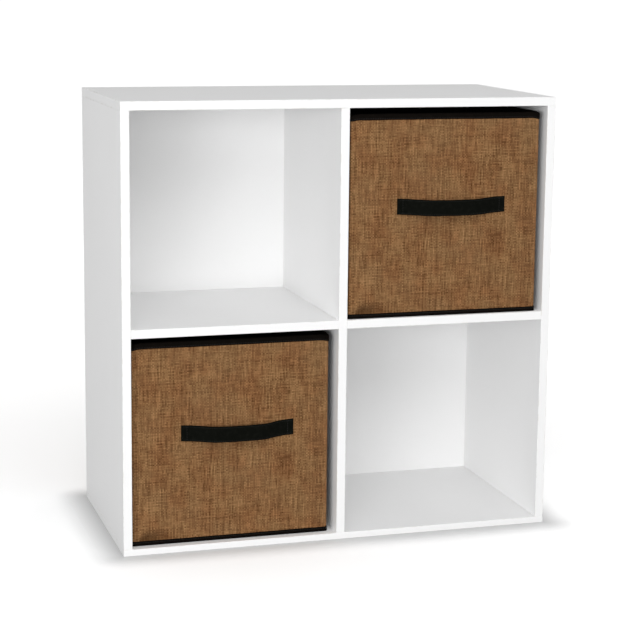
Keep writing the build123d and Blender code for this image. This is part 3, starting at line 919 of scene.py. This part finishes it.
        across, back = np.meshgrid(marks(half_x), marks(half_y), indexing="ij")
        places = on_cloth(across, back)
        inside = np.clip(from_edge(places, half_x, half_y) / easing, 0, 1)
        rounding = easing * (1 - np.sqrt(1 - (1 - inside) ** 2))
        over = self.placed(places[..., :2], top(places) - rounding)
        under = self.placed(places[..., :2], bottom(places) + rounding)
        return self.between(name, over, under, places, finish)

    def make_floor_cloth(self):
        """The cloth under the base board, hanging a little between its edges."""
        half_x = self.half_x - CLOTH - 0.1 * MM
        half_y = self.half_y - CLOTH - 0.1 * MM

        def sag(places):
            past_tape = from_edge(places, half_x, half_y) - EDGE_TAPE_WIDTH
            waves = 0.7 + 0.3 * wander(places, 60 * MM, self.seed + 17)
            return -0.4 * MM * smooth(past_tape / (30 * MM)) * waves

        floor = self.slab(
            "floor_sheet", half_x, half_y, lambda p: HEM + CLOTH + sag(p), lambda p: HEM + sag(p),
            "black_lining", easing=0.3 * MM,
        )
        self.finish_piece(floor, "floor_cloth")

    def make_base_board(self, body):
        """A stiff board wrapped in cloth, with a seam round its top."""
        low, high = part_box(self.name + "_base_board")
        half_x, half_y = (high.x - low.x) / 2, (high.y - low.y) / 2
        low_z, high_z = low.z - self.origin[2], high.z - self.origin[2]
        seam = 7 * MM

        def top(places):
            groove = np.exp(-(((from_edge(places, half_x, half_y) - seam) / (2.5 * MM)) ** 2))
            padding = 0.12 + 0.12 * wander(places, 50 * MM, self.seed + 19)
            return high_z - (0.3 * groove + padding) * MM

        def bottom(places):
            return low_z + 0.05 * MM * smooth(from_edge(places, half_x, half_y) / (10 * MM))

        board = self.slab("wrapped_base", half_x, half_y, top, bottom, "black_base", easing=1.3 * MM)
        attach(board, body)
        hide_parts(self.name + "_base_board")
        x, y = half_x - seam, half_y - seam
        corners = ((0, y), (-x, y), (-x, -y), (x, -y), (x, y), (0, y))
        points, _ = walk(corners, 3 * MM, LOOP_STEPS)
        line = self.placed(points, np.full(len(points), high_z - 0.42 * MM))
        rows = [stitches_along(line, np.tile((0.0, 0.0, 1.0), (len(line), 1)))]
        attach(self.add_stitches("base_stitches", rows), body)

    def strap_line(self, x):
        """How far out the middle of the strap is at each x, and how high."""
        flat = STRAP_THICKNESS / 2
        share = np.abs(x) / self.strap_half
        rise = smooth((self.strap_half - 11 * MM - np.abs(x)) / (36 * MM))
        out = flat + (STRAP_BOW - flat) * rise * (0.74 + 0.26 * (1 - share ** 2))
        out += 0.25 * MM * rise * wander(on_cloth(x, 0), 20 * MM, self.seed + 21)
        up = self.strap_z - STRAP_SAG * (1 - share ** 2) + STRAP_SAG * 0.4
        return out, up

    def strap_points(self, x, height, depth):
        """Points on the strap: along it, above its middle line, and outside its middle layer."""
        step = 0.1 * MM
        out, up = self.strap_line(x)
        ahead, _ = self.strap_line(x + step)
        behind, _ = self.strap_line(x - step)
        angle = np.arctan2(ahead - behind, 2 * step)
        px = x - depth * np.sin(angle) + self.strap_x
        py = -self.half_y - out - depth * np.cos(angle)
        facing = np.stack((-np.sin(angle), -np.cos(angle), np.zeros_like(angle)), axis=-1)
        return self.placed(np.stack((px, py), axis=-1), up + height), facing

    def make_strap(self):
        """A folded strap, sewn flat at both ends, that bows out and sags a little between them."""
        half_height = self.strap_half_height
        seam_x = self.strap_half - SEAM_FROM_END
        # Distances from the strap's edge in millimetres, and its thickness there as a share
        profile = ((0.0, 0.25), (0.25, 0.72), (0.8, 0.98), (1.5, 1.0), (2.0, 0.80), (2.5, 0.97), (4.0, 0.90))
        low_heights = [mm * MM - half_height for mm, _ in profile]
        heights = [*low_heights, 0.0, *(-height for height in reversed(low_heights))]
        low_shares = [share for _, share in profile]
        shares = [*low_shares, 0.86, *reversed(low_shares)]
        last = self.strap_half - 0.4 * MM
        x = np.concatenate(([-self.strap_half], np.linspace(-last, last, STRAP_MARKS), [self.strap_half]))
        pinch = 1 - 0.22 * np.exp(-(((np.abs(x) - seam_x) / (1.3 * MM)) ** 2))
        ends = np.where(np.abs(x) > self.strap_half - 0.2 * MM, 0.8, 1.0)
        columns, places = [], []
        for side in (1, -1):
            for index in range(len(heights))[::side]:
                frayed = 0.25 * MM * wander(on_cloth(x, 0), 11 * MM, self.seed + 23 + index // 8)
                at_edge = abs(heights[index]) / half_height
                height = np.full_like(x, heights[index]) + frayed * (at_edge > 0.9)
                depth = side * shares[index] * STRAP_THICKNESS / 2 * pinch * ends
                points, _ = self.strap_points(x, height, depth)
                columns.append(points)
                places.append(on_cloth(x, heights[index]))
        rows = np.stack(columns, axis=1)
        strap = self.loft("strap", rows, np.stack(places, axis=1), "black_strap")
        edge_rows = []
        run = np.linspace(-self.strap_half + 2 * MM, self.strap_half - 2 * MM, 150)
        for height in (half_height - 2 * MM, 2 * MM - half_height):
            line, facing = self.strap_points(run, height, np.full_like(run, 0.78 * STRAP_THICKNESS / 2))
            row = stitches_along(line, facing, pitch=3 * MM, length=2.1 * MM, radius=0.24 * MM)
            edge_rows.append(row)
        thread = self.add_stitches("strap_edge_stitches", edge_rows)
        for piece in (strap, thread):
            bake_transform(piece)
        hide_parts(self.name + "_handle_strap")
        seam_rows = []
        for side in (-1, 1):
            run = np.linspace(1.2 * MM - half_height, half_height - 1.2 * MM, 20)
            x = np.full_like(run, side * seam_x)
            line, facing = self.strap_points(x, run, np.full_like(run, 0.74 * STRAP_THICKNESS / 2))
            seam_rows.append(stitches_along(line, facing, pitch=3.2 * MM))
        self.finish_piece(self.add_stitches("strap_seams", seam_rows), "strap_stitches")

    def make(self):
        prefix = self.name.removesuffix("_bin")
        self.make_walls()
        self.make_rim_tape()
        self.make_edge_tape()
        self.make_stitches()
        self.make_floor_cloth()
        self.make_base_board(prefix + "_base")
        self.make_strap()


# ---- cabinet ----


def paint(name, material):
    """Gives a CAD node its finish."""
    mesh = nodes[name].data
    mesh.materials.clear()
    mesh.materials.append(material)


def finish_cabinet():
    boards = ("top_panel", "bottom_panel", "left_side_panel", "right_side_panel")
    for name in (*boards, "centre_divider", "left_shelf", "right_shelf"):
        paint(name, white_laminate(name))
    paint("back_panel", back_panel_finish())
    paint("cam_caps", cap_plastic())
    zinc = metal("zinc_steel", srgb(150, 152, 156), srgb(206, 208, 212), 0.28, 0.5)
    for name in ("cam_bolts", "divider_bolts", "bottom_screws", "back_nails"):
        paint(name, zinc)
    paint("cam_locks", metal("zinc_alloy", srgb(132, 134, 138), srgb(178, 180, 184), 0.4, 0.6))
    dark, light = srgb(170, 122, 78), srgb(216, 176, 128)
    paint("wood_dowels", grained("dowel_wood", dark, light, (1.0, 1.0, 0.12), 500, 0.08 * MM))


def make_bins():
    dark, light = srgb(120, 114, 104), srgb(168, 162, 150)
    greyboard = grained("grey_board", dark, light, (1.0, 1.0, 0.5), 700, 0.05 * MM)
    finishes = {
        "woven_front": woven_front(),
        "black_cloth": pressed_cloth("black_cloth", srgb(8, 8, 8), srgb(30, 29, 28)),
        "black_lining": pressed_cloth("black_lining", srgb(8, 8, 8), srgb(28, 27, 26)),
        "black_base": pressed_cloth("black_base", srgb(9, 9, 9), srgb(32, 31, 30)),
        "black_binding": ribbed_tape("black_binding", srgb(4, 3, 2), srgb(20, 15, 11), 1.1 * MM, 0.5),
        "black_strap": ribbed_tape("black_strap", srgb(3, 4, 2), srgb(20, 21, 17), 1.5 * MM, 0.8),
        "black_thread": thread_finish(),
    }
    for seed, name in enumerate(("upper_bin", "lower_bin"), start=1):
        Bin(name, seed, finishes).make()
        for board in ("front_board", "back_board", "left_boards", "right_boards"):
            paint(f"{name}_{board}", greyboard)


def make_studio():
    make_world()
    make_floor()
    soft_light("key", (-1.4, -3.5, 0.65), 2.6, 1.3, 48)
    soft_light("side", (-2.8, -2.8, 0.65), 2.6, 1.3, 35)
    soft_light("fill", (0.0, -3.2, 3.0), 4.4, 2.4, 64)
    soft_light("back", (3.2, 1.6, 1.0), 3.0, 1.6, 34)
    scene.view_settings.view_transform = "Standard"


make_camera()
finish_cabinet()
make_bins()
make_studio()
